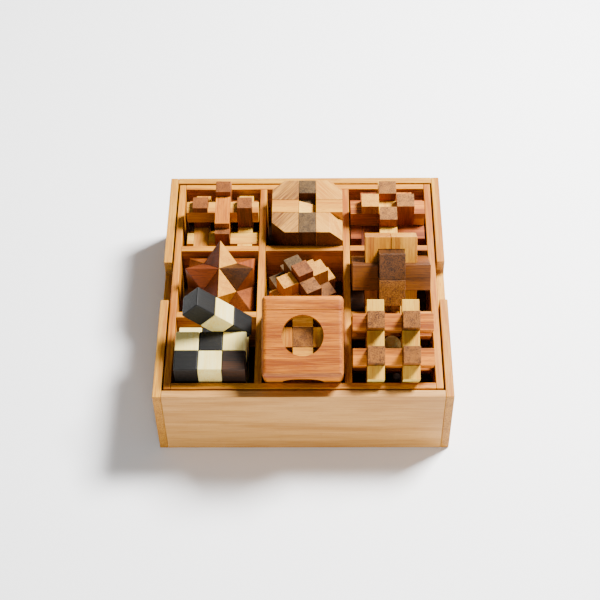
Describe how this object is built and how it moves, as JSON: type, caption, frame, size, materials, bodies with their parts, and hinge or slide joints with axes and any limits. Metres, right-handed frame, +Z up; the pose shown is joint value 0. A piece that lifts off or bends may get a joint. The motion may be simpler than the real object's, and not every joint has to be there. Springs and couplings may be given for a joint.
{
  "type": "boxed wooden burr puzzle set",
  "caption": "Open square wooden box with a lift-out tray whose compartments hold interlocking burr puzzles, a star, a snake cube, a windowed cube and a cage with a ball.",
  "frame": {"origin": "centre of the box's underside", "axes": "+Z up out of the open box, -Y towards the front wall, +X to the right"},
  "size_m": [0.246, 0.246, 0.1348],
  "materials": {
    "box_wood": "satin oiled",
    "tray_wood": "satin oiled",
    "tan_wood": "satin",
    "pale_wood": "satin",
    "brown_wood": "satin end grain",
    "red_wood": "satin",
    "orange_wood": "satin",
    "walnut_wood": "satin",
    "cream_wood": "satin",
    "black_wood": "satin"
  },
  "bodies": {
    "box": {"box_left_wall": "box_wood", "box_right_wall": "box_wood", "box_front_wall": "box_wood", "box_rear_wall": "box_wood", "box_base": "box_wood"},
    "tray": {"tray_left_wall": "tray_wood", "tray_right_wall": "tray_wood", "tray_front_wall": "tray_wood", "tray_rear_wall": "tray_wood", "tray_floor": "tray_wood", "divider_left": "tray_wood", "divider_right": "tray_wood", "divider_front": "tray_wood", "divider_rear": "tray_wood"},
    "spread_burr": {"spread_burr_top_cross": "tan_wood", "spread_burr_bottom_cross": "pale_wood", "spread_burr_front_cross": "pale_wood", "spread_burr_left_cross": "brown_wood", "spread_burr_right_cross": "red_wood", "spread_burr_rear_cross": "red_wood"},
    "close_burr": {"close_burr_top_cross": "pale_wood", "close_burr_front_cross": "brown_wood", "close_burr_rear_cross": "brown_wood", "close_burr_left_cross": "red_wood", "close_burr_bottom_cross": "orange_wood", "close_burr_right_cross": "orange_wood"},
    "chamfered_block": {"chamfered_block_left": "pale_wood", "chamfered_block_right": "pale_wood", "chamfered_block_centre": "walnut_wood"},
    "block_cross_stick": {"chamfered_block_cross_stick": "pale_wood", "chamfered_block_wedge": "cream_wood"},
    "star": {"star_lower_rear": "orange_wood", "star_lower_front": "red_wood"},
    "star_upper": {"star_right": "walnut_wood", "star_rear": "tan_wood", "star_left": "red_wood", "star_front": "pale_wood"},
    "turned_burr": {"turned_burr_right": "pale_wood", "turned_burr_left": "pale_wood", "turned_burr_front": "brown_wood", "turned_burr_rear": "walnut_wood"},
    "turned_key": {"turned_burr_key": "brown_wood"},
    "six_piece_burr": {"six_piece_burr_left_post": "pale_wood", "six_piece_burr_right_post": "pale_wood", "six_piece_burr_rear_bar": "brown_wood", "six_piece_burr_lower": "red_wood", "six_piece_burr_front_bar": "red_wood"},
    "six_piece_key": {"six_piece_burr_key": "walnut_wood"},
    "snake_cube": {"snake_cube_body": "cream_wood"},
    "snake_run": {"snake_cube_run": "black_wood"},
    "windowed_case": {"windowed_cube_case": "tan_wood"},
    "windowed_cap": {"windowed_cube_cap": "tan_wood"},
    "windowed_core": {"windowed_cube_core": "brown_wood"},
    "cage": {"cage_front_left_post": "brown_wood", "cage_front_right_post": "brown_wood", "cage_rear_left_post": "brown_wood", "cage_rear_right_post": "brown_wood", "cage_top_lattice": "orange_wood", "cage_bottom_lattice": "orange_wood"},
    "loose_ball": {"cage_ball": "cream_wood"}
  },
  "joints": [
    {"name": "tray_lift", "type": "slide", "parent": "box", "child": "tray", "axis": [0, 0, 1], "range_m": [0, 0.08]},
    {"name": "spread_burr_lift", "type": "slide", "parent": "tray", "child": "spread_burr", "axis": [0, 0, 1], "range_m": [0, 0.07]},
    {"name": "close_burr_lift", "type": "slide", "parent": "tray", "child": "close_burr", "axis": [0, 0, 1], "range_m": [0, 0.07]},
    {"name": "chamfered_block_lift", "type": "slide", "parent": "tray", "child": "chamfered_block", "axis": [0, 0, 1], "range_m": [0, 0.07]},
    {"name": "cross_stick_lift", "type": "slide", "parent": "chamfered_block", "child": "block_cross_stick", "axis": [0, 0, 1], "range_m": [0, 0.03]},
    {"name": "star_lift", "type": "slide", "parent": "tray", "child": "star", "axis": [0, 0, 1], "range_m": [0, 0.07]},
    {"name": "star_open", "type": "slide", "parent": "star", "child": "star_upper", "axis": [0, -0.1271, 0.9919], "range_m": [0, 0.03]},
    {"name": "turned_burr_lift", "type": "slide", "parent": "tray", "child": "turned_burr", "axis": [0, 0, 1], "range_m": [0, 0.06]},
    {"name": "turned_key_slide", "type": "slide", "parent": "turned_burr", "child": "turned_key", "axis": [0, 0, 1], "range_m": [0, 0.058]},
    {"name": "six_piece_burr_lift", "type": "slide", "parent": "tray", "child": "six_piece_burr", "axis": [0, 0, 1], "range_m": [0, 0.06]},
    {"name": "six_piece_key_slide", "type": "slide", "parent": "six_piece_burr", "child": "six_piece_key", "axis": [0, -0.776, 0.6307], "range_m": [0, 0.066]},
    {"name": "snake_cube_lift", "type": "slide", "parent": "tray", "child": "snake_cube", "axis": [0, 0, 1], "range_m": [0, 0.07]},
    {"name": "snake_run_fold", "type": "hinge", "parent": "snake_cube", "child": "snake_run", "pos_m": [-0.0566, -0.0579, 0.08551], "axis": [0, 1, 0], "range_deg": [-42, 45]},
    {"name": "windowed_cube_lift", "type": "slide", "parent": "tray", "child": "windowed_case", "axis": [0, -0.4679, 0.8838], "range_m": [0, 0.05]},
    {"name": "cap_slide", "type": "slide", "parent": "windowed_case", "child": "windowed_cap", "axis": [0, 0.8838, 0.4679], "range_m": [0, 0.025]},
    {"name": "core_slide", "type": "slide", "parent": "windowed_case", "child": "windowed_core", "axis": [0, 0.8838, 0.4679], "range_m": [0, 0.0125]},
    {"name": "cage_lift", "type": "slide", "parent": "tray", "child": "cage", "axis": [0, -0.4602, 0.8878], "range_m": [0, 0.05]},
    {"name": "ball_rattle", "type": "slide", "parent": "cage", "child": "loose_ball", "axis": [0, -0.4602, 0.8878], "range_m": [0, 0.01]}
  ],
  "couplings": [
    {"joint": "core_slide", "follows": "cap_slide", "ratio": 0.5}
  ]
}
